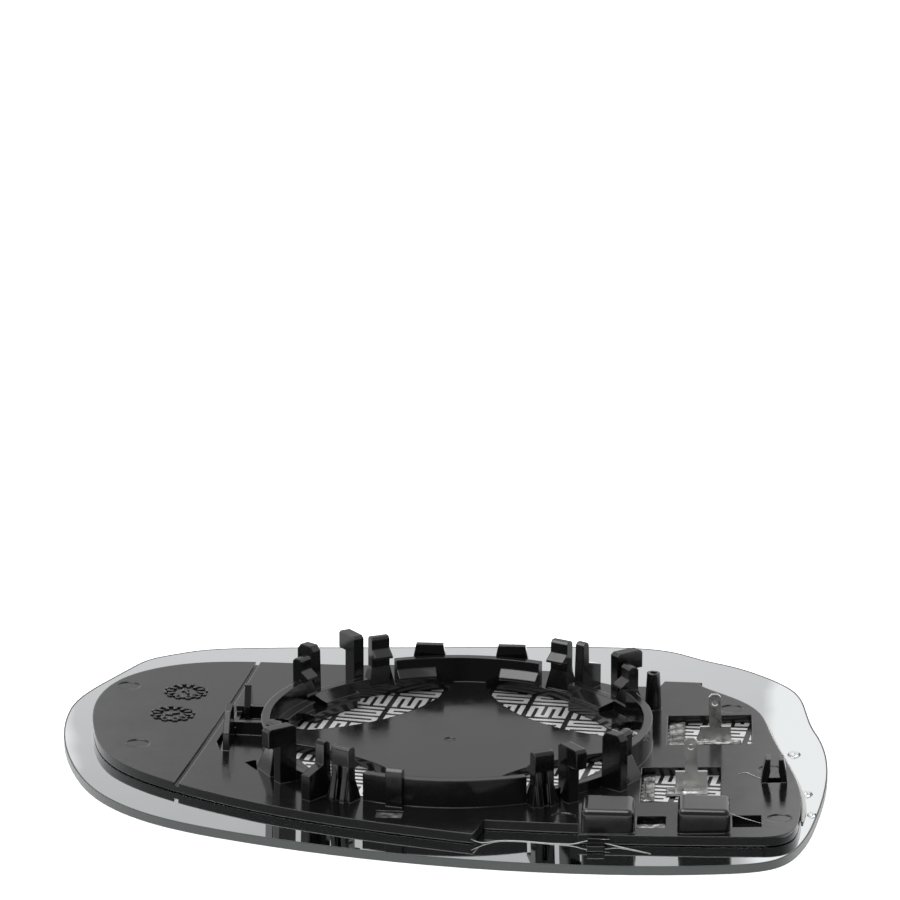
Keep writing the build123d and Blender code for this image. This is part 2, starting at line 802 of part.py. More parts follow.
    # Bracket at the left of the ring
    arm_end = bracket_p - bracket_thick / 2
    arm_start = clip_bite - ring_radius
    for q in bar_places:
        arm = [
            (arm_end, 0),
            (arm_start, 0),
            (arm_start, bracket_bar_height),
            (arm_end, bracket_bar_height),
        ]
        with BuildSketch(row_plane(q)):
            Polygon(*footed(arm, foot_at(bracket_p, q)), align=None)
    extrude(amount=bracket_bar_thick / 2, both=True)
    web_far_end = bar_places[0]
    web = [(web_low_end, 0), (web_far_end, 0), (web_far_end, web_height), (web_low_end, web_height)]
    with BuildSketch(column_plane(bracket_p)):
        Polygon(*footed(web, foot_at(bracket_p, web_far_end)), align=None)
    fin = [
        (bracket_fin_q - bracket_fin_base / 2, 0),
        (bracket_fin_q + bracket_fin_base / 2, 0),
        (bracket_fin_q + bracket_fin_middle / 2, bracket_bar_height),
        (bracket_fin_q + bracket_fin_tip / 2, bracket_fin_height),
        (bracket_fin_q - bracket_fin_tip / 2, bracket_fin_height),
        (bracket_fin_q - bracket_fin_middle / 2, bracket_bar_height),
    ]
    with BuildSketch(column_plane(bracket_fin_p)):
        Polygon(*footed(fin, foot_at(bracket_fin_p, bracket_fin_q)), align=None)
    blade_near, blade_far = blade_ends
    blade = [
        (blade_near, 0),
        (blade_far, 0),
        (blade_far - clip_corner, blade_height - 2 * clip_corner),
        (blade_far - 3 * clip_corner, blade_height),
        (blade_far - 3 * clip_corner - blade_tip, blade_height - clip_corner),
        (blade_near + clip_corner, blade_low_end),
    ]
    with BuildSketch(column_plane(bracket_p)):
        Polygon(*footed(blade, foot_at(bracket_p, blade_near)), align=None)
    extrude(amount=bracket_thick / 2, both=True)

    # Tongs that grip a wire
    tongs_foot = foot_at(*tongs_place)
    tongs_top = tongs_foot + bite + tongs_rise
    tongs_p, tongs_q = tongs_place
    for side in (-1, 1):
        inner = tongs_p + side * tongs_gap / 2
        prong = [
            (inner, 0),
            (inner + side * prong_foot, 0),
            (inner + side * (prong_foot - prong_lean / 2), tongs_top - prong_knee),
            (inner + side * (prong_tip - prong_lean), tongs_top),
            (inner - side * prong_lean, tongs_top),
            (inner - side * prong_lean, tongs_top - prong_knee),
        ]
        with BuildSketch(row_plane(tongs_q)):
            Polygon(*footed(prong, tongs_foot), align=None)
    extrude(amount=tongs_long / 2, both=True)
carrier_plate.part.label = "carrier_plate"
export_step(carrier_plate.part, "parts/carrier_plate.step")


for name, window, shift, foot_side in (
    ("terminal_far", window_far, terminal_far_shift, 1),
    ("terminal_near", window_near, terminal_near_shift, -1),
):
    place = plan(window[0] + shift[0], window[1] + shift[1])
    ground, standing = resting_planes(*place, plate_base + track_thick + seat_clearance)
    half_shoulder = shoulder_width / 2
    half_tab = tab_width / 2
    tab_top = shoulder_high + tab_long
    with BuildPart() as terminal:
        with BuildSketch(standing):
            with BuildLine():
                Polyline(
                    (half_tab, shoulder_high),
                    (half_tab, tab_top - tab_lead),
                    (half_tab - tab_lead, tab_top),
                    (tab_lead - half_tab, tab_top),
                    (-half_tab, tab_top - tab_lead),
                    (-half_tab, shoulder_high),
                    (-half_shoulder, shoulder_high),
                    (-half_shoulder, 0),
                    (half_shoulder, 0),
                    (half_shoulder, shoulder_high),
                    close=True,
                )
            make_face()
            with Locations((0, tab_top - latch_drop)):
                Circle(latch_hole_d / 2, mode=Mode.SUBTRACT)
        extrude(amount=tab_thick / 2, both=True)
        with BuildSketch(ground):
            with Locations((0, foot_side * foot_long / 2)):
                Rectangle(shoulder_width, foot_long)
        extrude(amount=foot_thick)
        with BuildSketch(ground.offset(foot_thick)):
            with Locations((0, foot_side * foot_long * crimp_place)):
                SlotOverall(crimp_long, crimp_wide)
        extrude(amount=crimp_rise, taper=crimp_taper)
    terminal.part.label = name
    export_step(terminal.part, f"parts/{name}.step")


# Each drop is a cap cut from a ball whose middle lies below the glass's face
for name, (x, y, radius) in glue_places.items():
    ground, standing = resting_planes(x, y, glass_thick)
    height = radius * glue_flatness
    ball = (radius**2 + height**2) / (2 * height)
    middle = ground.offset(height - ball).origin
    with BuildPart(Plane(origin=middle, x_dir=ground.y_dir, z_dir=ground.x_dir)) as drop:
        Sphere(ball)
        split(bisect_by=ground, keep=Keep.TOP)
    drop.part.label = name
    export_step(drop.part, f"parts/{name}.step")
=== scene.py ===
from math import cos, pi, radians, sin, sqrt

import bmesh
import bpy
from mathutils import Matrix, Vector, noise


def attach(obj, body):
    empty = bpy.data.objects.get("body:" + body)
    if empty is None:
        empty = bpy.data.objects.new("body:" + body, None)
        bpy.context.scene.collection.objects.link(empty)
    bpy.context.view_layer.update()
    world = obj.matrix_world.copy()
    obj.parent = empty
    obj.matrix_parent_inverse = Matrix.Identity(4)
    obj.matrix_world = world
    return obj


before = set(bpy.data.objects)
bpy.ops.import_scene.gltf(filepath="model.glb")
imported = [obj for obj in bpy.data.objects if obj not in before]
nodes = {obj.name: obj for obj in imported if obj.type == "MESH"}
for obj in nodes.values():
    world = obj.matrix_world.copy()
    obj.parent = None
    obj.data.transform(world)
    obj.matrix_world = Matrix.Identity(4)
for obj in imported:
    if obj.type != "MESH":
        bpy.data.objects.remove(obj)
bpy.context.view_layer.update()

# Layers of the mirror and the seat of its adjuster, as they are moulded, in metres
MM = 0.001
face_radius = 1650 * MM
glass_thick = 1.9 * MM
print_top = 2.2 * MM
plate_top = 4.2 * MM
seat_x = 3.9 * MM
seat_y = 2.6 * MM
seat_turn = radians(-4.5)
join_distance = 0.001 * MM  # corners of facets that are nearer than this are joined


def sag(x, y):
    """Height that the convex face adds at a place in plan."""
    return face_radius - sqrt(face_radius**2 - x**2 - y**2)


def plan(p, q):
    """Place in plan of a point given square to the seat."""
    x = seat_x + p * cos(seat_turn) - q * sin(seat_turn)
    y = seat_y + p * sin(seat_turn) + q * cos(seat_turn)
    return x, y


def on_plate(p, q, lift=0.0):
    """Point on the clip plate's upper face, given square to the seat in millimetres."""
    x, y = plan(p * MM, q * MM)
    return Vector((x, y, plate_top + sag(x, y) + lift * MM))


def on_print(p, q, lift=0.0):
    """Point on the heater's print, given square to the seat in millimetres."""
    return on_plate(p, q, lift + (print_top - plate_top) / MM)


def on_glass(x, y, lift=0.0):
    """Point on the glass's clip side, given in plan in millimetres."""
    return Vector((x * MM, y * MM, glass_thick + sag(x * MM, y * MM) + lift * MM))


# Materials


def linear(colour):
    """Linear colour from an sRGB hex value."""
    channels = [int(colour[i:i + 2], 16) / 255 for i in (1, 3, 5)]
    out = [c / 12.92 if c <= 0.04045 else ((c + 0.055) / 1.055) ** 2.4 for c in channels]
    return (*out, 1.0)


def node(tree, kind, inputs=None, **settings):
    """Adds one node with its settings, and its inputs as values or as links from other sockets."""
    made = tree.nodes.new(kind)
    for name, value in settings.items():
        setattr(made, name, value)
    for name, value in (inputs or {}).items():
        if isinstance(value, bpy.types.NodeSocket):
            tree.links.new(value, made.inputs[name])
        else:
            made.inputs[name].default_value = value
    return made


def per_mm(size):
    """Texture scale at which one cell is this many millimetres wide."""
    return 1 / (size * MM)


def start_material(name):
    """Empty node material; gives the material, its tree and the object coordinates in metres."""
    material = bpy.data.materials.new(name)
    material.use_nodes = True
    tree = material.node_tree
    tree.nodes.clear()
    place = node(tree, "ShaderNodeTexCoord").outputs["Object"]
    return material, tree, place


def black_abs():
    """ABS moulded in a polished tool: deep black and glossy, with faint flow marks and softened corners."""
    material, tree, place = start_material("black_abs_moulded")
    flow_mm = 9.0
    flow = node(tree, "ShaderNodeTexNoise", {"Vector": place, "Scale": per_mm(flow_mm), "Detail": 3.0})
    sheen = node(
        tree, "ShaderNodeMapRange",
        {"Value": flow.outputs["Fac"], "From Min": 0.35, "From Max": 0.7, "To Min": 0.09, "To Max": 0.17},
    )
    rub_mm = 1.6
    rub = node(tree, "ShaderNodeTexNoise", {"Vector": place, "Scale": per_mm(rub_mm), "Detail": 4.0})
    scuff = node(
        tree, "ShaderNodeMapRange",
        {"Value": rub.outputs["Fac"], "From Min": 0.3, "From Max": 0.75, "To Min": 0.0, "To Max": 0.05},
    )
    roughness = node(
        tree, "ShaderNodeMath",
        {0: sheen.outputs["Result"], 1: scuff.outputs["Result"]},
        operation="ADD",
    )
    ripple_mm = 4.0
    ripple = node(tree, "ShaderNodeTexNoise", {"Vector": place, "Scale": per_mm(ripple_mm), "Detail": 2.0})
    corner_mm = 0.4
    corner = node(tree, "ShaderNodeBevel", {"Radius": corner_mm * MM}, samples=6)
    bump = node(
        tree, "ShaderNodeBump",
        {
            "Height": ripple.outputs["Fac"],
            "Strength": 0.3,
            "Distance": 0.025 * MM,
            "Normal": corner.outputs["Normal"],
        },
    )
    colour = node(
        tree, "ShaderNodeMix",
        {"Factor": rub.outputs["Fac"], "A": linear("#0a0a0b"), "B": linear("#111112")},
        data_type="RGBA",
    )
    shader = node(
        tree, "ShaderNodeBsdfPrincipled",
        {
            "Base Color": colour.outputs["Result"],
            "Roughness": roughness.outputs["Value"],
            "IOR": 1.52,
            "Normal": bump.outputs["Normal"],
        },
    )
    node(tree, "ShaderNodeOutputMaterial", {"Surface": shader.outputs["BSDF"]})
    return material


def silvered_glass():
    """Float glass with a chrome coat: a clean mirror on its faces and a dark ground edge round them."""
    material, tree, place = start_material("silvered_glass_ground_edge")
    normal = node(tree, "ShaderNodeNewGeometry").outputs["Normal"]
    upright = node(tree, "ShaderNodeSeparateXYZ", {"Vector": normal}).outputs["Z"]
    facing = node(tree, "ShaderNodeMath", {0: upright}, operation="ABSOLUTE").outputs["Value"]
    on_face = node(
        tree, "ShaderNodeMapRange",
        {"Value": facing, "From Min": 0.94, "From Max": 0.975, "To Min": 0.0, "To Max": 1.0},
    )
    bloom_mm = 30.0
    bloom = node(tree, "ShaderNodeTexNoise", {"Vector": place, "Scale": per_mm(bloom_mm), "Detail": 2.0})
    clean = node(
        tree, "ShaderNodeMapRange",
        {"Value": bloom.outputs["Fac"], "From Min": 0.4, "From Max": 0.7, "To Min": 0.015, "To Max": 0.045},
    )
    mirror = node(
        tree, "ShaderNodeBsdfPrincipled",
        {"Base Color": linear("#e6e9ea"), "Metallic": 1.0, "Roughness": clean.outputs["Result"]},
    )
    grit_mm = 0.12  # drawn coarser than the grinding's real grit, which is too fine to show
    grit = node(tree, "ShaderNodeTexNoise", {"Vector": place, "Scale": per_mm(grit_mm), "Detail": 2.0})
    bump = node(
        tree, "ShaderNodeBump",
        {"Height": grit.outputs["Fac"], "Strength": 0.5, "Distance": 0.02 * MM},
    )
    ground = node(
        tree, "ShaderNodeBsdfPrincipled",
        {
            "Base Color": linear("#3a3f3e"),
            "Roughness": 0.38,
            "IOR": 1.52,
            "Normal": bump.outputs["Normal"],
        },
    )
    shader = node(
        tree, "ShaderNodeMixShader",
        {0: on_face.outputs["Result"], 1: ground.outputs["BSDF"], 2: mirror.outputs["BSDF"]},
    )
    node(tree, "ShaderNodeOutputMaterial", {"Surface": shader.outputs["Shader"]})
    return material


def ground_edge_and_painted_reflection():
    """Fine-ground edge of the glass as it shows through the clip side: matt and dark, the edge's own grey
    together with a painted reflection of the edge in the chrome coat.
    """
    material, tree, place = start_material("ground_edge_painted_reflection")
    grit_mm = 0.15  # drawn coarser than the grinding's real grit, which is too fine to show
    grit = node(tree, "ShaderNodeTexNoise", {"Vector": place, "Scale": per_mm(grit_mm), "Detail": 2.0})
    # Dark grey of the ground edge together with its painted reflection in the chrome coat, as they show
    # through the glass
    colour = node(
        tree, "ShaderNodeMix",
        {"Factor": grit.outputs["Fac"], "A": linear("#2c3030"), "B": linear("#555a5a")},
        data_type="RGBA",
    )
    shader = node(
        tree, "ShaderNodeBsdfPrincipled",
        {"Base Color": colour.outputs["Result"], "Roughness": 0.5, "IOR": 1.52},
    )
    node(tree, "ShaderNodeOutputMaterial", {"Surface": shader.outputs["BSDF"]})
    return material


def polyester_film():
    """Black polyester film: smooth, a little wavy where it was rolled down, satin."""
    material, tree, place = start_material("black_polyester_film")
    wave_mm = 6.0
    wave = node(tree, "ShaderNodeTexNoise", {"Vector": place, "Scale": per_mm(wave_mm), "Detail": 1.0})
    bump = node(
        tree, "ShaderNodeBump",
        {"Height": wave.outputs["Fac"], "Strength": 0.4, "Distance": 0.08 * MM},
    )
    satin = node(
        tree, "ShaderNodeMapRange",
        {"Value": wave.outputs["Fac"], "From Min": 0.3, "From Max": 0.7, "To Min": 0.22, "To Max": 0.34},
    )
    shader = node(
        tree, "ShaderNodeBsdfPrincipled",
        {
            "Base Color": linear("#0d0d0f"),
            "Roughness": satin.outputs["Result"],
            "IOR": 1.6,
            "Normal": bump.outputs["Normal"],
        },
    )
    node(tree, "ShaderNodeOutputMaterial", {"Surface": shader.outputs["BSDF"]})
    return material


def silver_ink():
    """Screen-printed silver ink: bright and dry, with the screen's fine grain in its surface."""
    material, tree, place = start_material("printed_silver_ink")
    screen_mm = 0.25  # drawn coarser than a real printing screen, which is too fine to show
    grain = node(tree, "ShaderNodeTexNoise", {"Vector": place, "Scale": per_mm(screen_mm), "Detail": 2.0})
    bump = node(
        tree, "ShaderNodeBump",
        {"Height": grain.outputs["Fac"], "Strength": 0.3, "Distance": 0.01 * MM},
    )
    colour = node(
        tree, "ShaderNodeMix",
        {"Factor": grain.outputs["Fac"], "A": linear("#d4d4d4"), "B": linear("#f2f2f2")},
        data_type="RGBA",
    )
    shader = node(
        tree, "ShaderNodeBsdfPrincipled",
        {
            "Base Color": colour.outputs["Result"],
            "Metallic": 0.85,
            "Roughness": 0.42,
            "Normal": bump.outputs["Normal"],
        },
    )
    node(tree, "ShaderNodeOutputMaterial", {"Surface": shader.outputs["BSDF"]})
    return material


def tinned_brass():
    """Stamped brass strip with a bright tin coat: soft grey metal with rolling lines along the tab."""
    material, tree, place = start_material("tinned_brass")
    line_mm = 0.18  # real rolling lines are finer than this, and wouldn't show
    line_long_mm = 50 / 3
    stretched = node(
        tree, "ShaderNodeMapping",
        {"Vector": place, "Scale": (per_mm(line_mm), per_mm(line_mm), per_mm(line_long_mm))},
    )
    lines = node(
        tree, "ShaderNodeTexNoise",
        {"Vector": stretched.outputs["Vector"], "Scale": 1.0, "Detail": 3.0},
    )
    bump = node(
        tree, "ShaderNodeBump",
        {"Height": lines.outputs["Fac"], "Strength": 0.25, "Distance": 0.01 * MM},
    )
    dull_mm = 2.5
    dull = node(tree, "ShaderNodeTexNoise", {"Vector": place, "Scale": per_mm(dull_mm), "Detail": 3.0})
    roughness = node(
        tree, "ShaderNodeMapRange",
        {"Value": dull.outputs["Fac"], "From Min": 0.3, "From Max": 0.75, "To Min": 0.24, "To Max": 0.42},
    )
    colour = node(
        tree, "ShaderNodeMix",
        {"Factor": dull.outputs["Fac"], "A": linear("#b9b9b7"), "B": linear("#dcdcda")},
        data_type="RGBA",
    )
    shader = node(
        tree, "ShaderNodeBsdfPrincipled",
        {
            "Base Color": colour.outputs["Result"],
            "Metallic": 1.0,
            "Roughness": roughness.outputs["Result"],
            "Normal": bump.outputs["Normal"],
        },
    )
    node(tree, "ShaderNodeOutputMaterial", {"Surface": shader.outputs["BSDF"]})
    return material


def foil_with_painted_sheen():
    """Tinned foil pressed down by hand, with painted highlights and painted shade laid over its creases:
    bright in the middle of each crease cell, dull and grey towards its edges.
    """
    material, tree, place = start_material("creased_foil_painted_sheen")
    crease_mm = 1.8
    crease = node(
        tree, "ShaderNodeTexVoronoi",
        {"Vector": place, "Scale": per_mm(crease_mm)},
        feature="F1",
    )
    bump = node(
        tree, "ShaderNodeBump",
        {"Height": crease.outputs["Distance"], "Strength": 0.35, "Distance": 0.1 * MM},
    )
    # Painted highlight and shade: the colour runs from bright at the middle of each crease cell to dark grey
    # at its edge
    shade = node(
        tree, "ShaderNodeMapRange",
        {"Value": crease.outputs["Distance"], "From Min": 0.0, "From Max": 0.7, "To Min": 1.0, "To Max": 0.0},
    )
    colour = node(
        tree, "ShaderNodeMix",
        {"Factor": shade.outputs["Result"], "A": linear("#4f4f4e"), "B": linear("#b4b4b3")},
        data_type="RGBA",
    )
    shader = node(
        tree, "ShaderNodeBsdfPrincipled",
        {
            "Base Color": colour.outputs["Result"],
            "Metallic": 0.7,
            "Roughness": 0.36,
            "Normal": bump.outputs["Normal"],
        },
    )
    node(tree, "ShaderNodeOutputMaterial", {"Surface": shader.outputs["BSDF"]})
    return material


def clear_adhesive():
    """Cured clear adhesive: water-clear, with a soft skin over each drop."""
    material, tree, place = start_material("clear_adhesive")
    skin_mm = 1.2
    skin = node(tree, "ShaderNodeTexNoise", {"Vector": place, "Scale": per_mm(skin_mm), "Detail": 1.0})
    bump = node(
        tree, "ShaderNodeBump",
        {"Height": skin.outputs["Fac"], "Strength": 0.3, "Distance": 0.05 * MM},
    )
    shader = node(
        tree, "ShaderNodeBsdfPrincipled",
        {
            "Base Color": linear("#f4f5f3"),
            "Roughness": 0.04,
            "IOR": 1.47,
            "Transmission Weight": 1.0,
            "Normal": bump.outputs["Normal"],
        },
    )
    node(tree, "ShaderNodeOutputMaterial", {"Surface": shader.outputs["BSDF"]})
    return material


def milky_adhesive():
    """Adhesive drawn out while it set: full of fine bubbles, so it scatters white and still shines."""
    material, tree, place = start_material("milky_adhesive")
    bubble_mm = 0.6  # drawn coarser than the real bubbles, which are too fine to show
    bubbles = node(tree, "ShaderNodeTexNoise", {"Vector": place, "Scale": per_mm(bubble_mm), "Detail": 2.0})
    bump = node(
        tree, "ShaderNodeBump",
        {"Height": bubbles.outputs["Fac"], "Strength": 0.4, "Distance": 0.05 * MM},
    )
    colour = node(
        tree, "ShaderNodeMix",
        {"Factor": bubbles.outputs["Fac"], "A": linear("#b8b8b4"), "B": linear("#f2f2ef")},
        data_type="RGBA",
    )
    shader = node(
        tree, "ShaderNodeBsdfPrincipled",
        {
            "Base Color": colour.outputs["Result"],
            "Roughness": 0.12,
            "IOR": 1.47,
            "Transmission Weight": 0.35,
            "Normal": bump.outputs["Normal"],
        },
    )
    node(tree, "ShaderNodeOutputMaterial", {"Surface": shader.outputs["BSDF"]})
    return material


plastic = black_abs()
clear_glue = clear_adhesive()
milky_glue = milky_adhesive()
edge_and_reflection_paint = ground_edge_and_painted_reflection()
foil = foil_with_painted_sheen()
tin = tinned_brass()


# Finishes of the mirror's own parts


def dress(name, material):
    """Gives a part of the mirror its finish."""
    mesh = nodes[name].data
    mesh.materials.clear()
    mesh.materials.append(material)


def soften_edges(name, width):
    """Small rolled radius on a stamped part's sharp edges."""
    weld = nodes[name].modifiers.new("joined_facets", "WELD")
    weld.merge_threshold = join_distance
    bevel = nodes[name].modifiers.new("edge_radius", "BEVEL")
    bevel.width = width
    bevel.segments = 2
    bevel.limit_method = "ANGLE"
    bevel.angle_limit = radians(50)


dress("carrier_plate", plastic)
dress("mirror_glass", silvered_glass())
dress("heater_film", polyester_film())
dress("heater_tracks", silver_ink())
for name in ("terminal_far", "terminal_near"):
    dress(name, tin)
    soften_edges(name, 0.1 * MM)
for name in ("glue_drop_far", "glue_drop_middle", "glue_drop_near"):
    dress(name, clear_glue)


# Small pieces that the plate and the glass carry


def carried(name, data, material):
    """Piece that rides with the mirror, with its finish."""
    piece = bpy.data.objects.new(name, data)
    bpy.context.scene.collection.objects.link(piece)
    data.materials.append(material)
    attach(piece, "root")
    return piece


def mesh_piece(name, form, material, smooth=False):
    """Carried piece made from a finished form, shaded flat or as one soft surface."""
    bmesh.ops.recalc_face_normals(form, faces=form.faces)
    for face in form.faces:
        face.smooth = smooth
    mesh = bpy.data.meshes.new(name)
    form.to_mesh(mesh)
    form.free()
    return carried(name, mesh, material)


def adhesive_thread(name, points, radius):
    """Round strand of adhesive that follows a line of points, drawn thin at both ends."""
    thin_end = 0.3
    curve = bpy.data.curves.new(name, "CURVE")
    curve.dimensions = "3D"
    curve.bevel_depth = radius * MM
    curve.bevel_resolution = 2
    spline = curve.splines.new("NURBS")
    spline.points.add(len(points) - 1)
    for point, place in zip(spline.points, points):
        point.co = (*place, 1.0)
    for end in (spline.points[0], spline.points[-1]):
        end.radius = thin_end
    spline.order_u = 3
    spline.use_endpoint_u = True
    carried(name, curve, milky_glue)


def raised_marks(name, outlines, sink, rise):
    """Moulded marks on the plate: closed prisms over outlines given square to the seat."""
    form = bmesh.new()
    for outline in outlines:
        low = [form.verts.new(on_plate(p, q, -sink)) for p, q in outline]
        high = [form.verts.new(on_plate(p, q, rise)) for p, q in outline]
        form.faces.new(low)
        form.faces.new(high)
        for i in range(len(outline)):
            j = (i + 1) % len(outline)
            form.faces.new((low[i], low[j], high[j], high[i]))
    mesh_piece(name, form, plastic)


def turned(points, turn, p, q):
    """Outline turned about its own middle and set down at a place, square to the seat."""
    return [
        (p + along * cos(turn) - across * sin(turn), q + along * sin(turn) + across * cos(turn))
        for along, across in points
    ]


# Marks of a date clock, pointing along p from its middle, in millimetres
clock_pip = [(3.0, -0.3), (4.5, -0.5), (4.5, 0.5), (3.0, 0.3)]
clock_petal = [(4.7, -0.75), (5.25, -0.5), (5.25, 0.5), (4.7, 0.75)]
clock_arrow = [
    (-1.7, -0.28), (0.3, -0.28), (0.3, -0.95), (1.9, 0.0), (0.3, 0.95), (0.3, 0.28), (-1.7, 0.28),
]


def clock_marks(name, p, q, month):
    """Date clock: twelve pips, twelve short petals round them, and an arrow on its core."""
    step = 2 * pi / 12
    outlines = []
    for hour in range(12):
        outlines.append(turned(clock_pip, hour * step, p, q))
        outlines.append(turned(clock_petal, (hour + 0.5) * step, p, q))
    outlines.append(turned(clock_arrow, month * step, p, q))
    raised_marks(name, outlines, sink=0.3, rise=0.28)


def creased_patch(name, low, high, rise, folds, lift=0.12):
    """Thin creased sheet over the print, between two corners given square to the seat in millimetres."""
    steps = 26
    edge_wander = 0.35
    sheet_thick = 0.08
    form = bmesh.new()
    rows = []
    for i in range(steps + 1):
        row = []
        across = i / steps
        for j in range(steps + 1):
            along = j / steps
            wander = edge_wander * noise.noise((4 * along, 7 * across, folds))
            p = low[0] + (high[0] - low[0]) * across + wander * (1 - 2 * abs(across - 0.5))
            q = low[1] + (high[1] - low[1]) * along
            drift = 2.5 * noise.noise((3 * across, 3 * along, 1.0))
            fold = 0.5 + 0.5 * sin(folds * 2 * pi * along + drift)
            crumple = 0.5 + 0.5 * noise.noise((9 * across, 9 * along, folds))
            height = lift + rise * (0.65 * fold + 0.35 * crumple)
            row.append(form.verts.new(on_print(p, q, height)))
        rows.append(row)
    for i in range(steps):
        for j in range(steps):
            form.faces.new((rows[i][j], rows[i + 1][j], rows[i + 1][j + 1], rows[i][j + 1]))
    piece = mesh_piece(name, form, foil, smooth=True)
    sheet = piece.modifiers.new("sheet", "SOLIDIFY")
    sheet.thickness = sheet_thick * MM


def crumb(name, place, radius, flatness, variant):
    """Crumb of set adhesive, uneven and flat underneath."""
    size = radius * MM
    underside = -0.1 * MM
    form = bmesh.new()
    bmesh.ops.create_icosphere(form, subdivisions=3, radius=size)
    for vert in form.verts:
        swell = 1 + 0.35 * noise.noise(vert.co / size + Vector((variant, variant, 0)))
        vert.co = vert.co * swell
        vert.co.z = max(vert.co.z * flatness, underside)
        vert.co += place
    mesh_piece(name, form, clear_glue, smooth=True)


def glass_outline():
    """Corners of the glass's clip side in plan, in order round it."""
    form = bmesh.new()
    form.from_mesh(nodes["mirror_glass"].data)
    bmesh.ops.remove_doubles(form, verts=form.verts, dist=join_distance)
    form.normal_update()
    corners = set()
    for edge in form.edges:
        slopes = sorted(face.normal.z for face in edge.link_faces)
        if len(slopes) == 2 and slopes[0] < 0.5 and slopes[1] > 0.9:
            corners.update((round(vert.co.x, 7), round(vert.co.y, 7)) for vert in edge.verts)
    form.free()
    rest = sorted(corners)
    outline = [rest.pop(0)]
    while rest:
        x, y = outline[-1]
        nearest = min(rest, key=lambda corner: (corner[0] - x) ** 2 + (corner[1] - y) ** 2)
        rest.remove(nearest)
        outline.append(nearest)
    return outline


def glass_edge_reflection_strip(name, width):
    """Narrow dark strip round the clip side of the glass, just inside its edge: the ground edge seen through
    the glass, with its painted reflection in the chrome coat.
    """
    edge_gap = 0.02
    lift = 0.05
    outline = glass_outline()
    count = len(outline)
    form = bmesh.new()
    rings = []
    for inset in (edge_gap, edge_gap + width):
        ring = []
        for i in range(count):
            here = Vector(outline[i])
            ahead = (Vector(outline[(i + 1) % count]) - Vector(outline[i - 1])).normalized()
            inward = Vector((-ahead.y, ahead.x))
            if inward.dot(-here) < 0:
                inward = -inward
            at = here + inward * inset * MM
            ring.append(form.verts.new(on_glass(at.x / MM, at.y / MM, lift)))
        rings.append(ring)
    outer, inner = rings
    for i in range(count):
        j = (i + 1) % count
        form.faces.new((outer[i], outer[j], inner[j], inner[i]))
    mesh_piece(name, form, edge_and_reflection_paint)


def plate_right_edge(y):
    """Edge of the clip plate at its right side, at a place along it, in millimetres."""
    mesh = nodes["carrier_plate"].data
    crossings = []
    for edge in mesh.edges:
        one, two = (mesh.vertices[i].co / MM for i in edge.vertices)
        if (one.y - y) * (two.y - y) < 0:
            share = (y - one.y) / (two.y - one.y)
            crossings.append(one.x + share * (two.x - one.x))
    return max(crossings)


clock_marks("date_clock_far", -67.2, 27.4, month=4)
clock_marks("date_clock_near", -67.9, 11.4, month=7)
# Dark strip just inside the glass's rim: the ground edge with its painted reflection
glass_edge_reflection_strip("glass_edge_reflection_strip", 0.32)

# Folds of film beside the terminals, foil at their feet, and film tabs bent up in two wire slots
creased_patch("film_fold_far", (48.8, 3.5), (52.4, 19.4), 0.75, folds=5)
creased_patch("film_fold_near", (43.4, -34.5), (46.0, -16.8), 0.6, folds=5)
creased_patch("foil_far", (54.6, 4.4), (65.4, 7.0), 0.45, folds=3)
creased_patch("foil_near", (48.5, -30.6), (57.0, -24.6), 0.4, folds=3)
creased_patch("film_tab_side_slot", (-14.05, -52.7), (-8.1, -47.9), 0.15, folds=2, lift=1.5)
creased_patch("film_tab_first_slot", (42.4, -54.2), (49.0, -51.2), 0.9, folds=1, lift=0.4)

# Strings of adhesive pulled out by hand when the plate was pressed on: two hang from its near
# edge to the glass, given in plan, and two lie on the plate, given square to the seat
edge_strings = {
    "adhesive_string_notch": [
        (6.6, -60.1, 1.25), (8.2, -60.2, 0.5), (9.8, -59.3, 0.15), (12.8, -57.6, 0.1), (17.1, -58.1, 0.1),
        (21.3, -59.4, 0.1), (25.0, -60.6, 0.12), (28.3, -61.2, 0.2), (30.5, -61.4, 0.9),
        (33.3, -61.7, 1.3), (36.0, -62.1, 1.5),
    ],
    "adhesive_string_front": [
        (31.0, -61.5, 1.1), (34.5, -62.1, 0.8), (37.5, -62.9, 0.15), (40.5, -65.0, 0.1),
        (44.4, -68.0, 0.1),
    ],
}
plate_strings = {
    "adhesive_string_slot": [
        (62.2, -47.6, 0.3), (63.6, -50.0, 0.4), (66.4, -52.6, 0.25), (69.6, -54.8, 0.08),
    ],
    "adhesive_string_tongs": [
        (64.6, -21.0, 0.08), (66.2, -19.8, 0.1), (67.4, -22.0, 0.1), (69.6, -24.6, 0.08),
    ],
}
for name, route in edge_strings.items():
    adhesive_thread(name, [on_glass(x, y, lift) for x, y, lift in route], 0.1)
for name, route in plate_strings.items():
    adhesive_thread(name, [on_plate(p, q, lift) for p, q, lift in route], 0.09)

# Bead squeezed out along the plate's right edge, and crumbs on the film at the right inside the seat
bead_gap = 0.55
bead_lift = 0.35
bead = [on_glass(plate_right_edge(y) + bead_gap, y, bead_lift) for y in range(-52, 24, 6)]
adhesive_thread("adhesive_bead", bead, 0.75)
crumb("adhesive_crumb_a", on_print(36.4, 12.6), 1.5, flatness=0.8, variant=1.3)
crumb("adhesive_crumb_b", on_print(38.8, 13.3), 1.2, flatness=1.0, variant=2.9)
crumb("adhesive_crumb_c", on_print(40.4, 11.2), 1.4, flatness=0.9, variant=5.1)


# Floor, background and light
white = linear("#ffffff")
fill_level = 0.55  # light that matt surfaces take from the surround


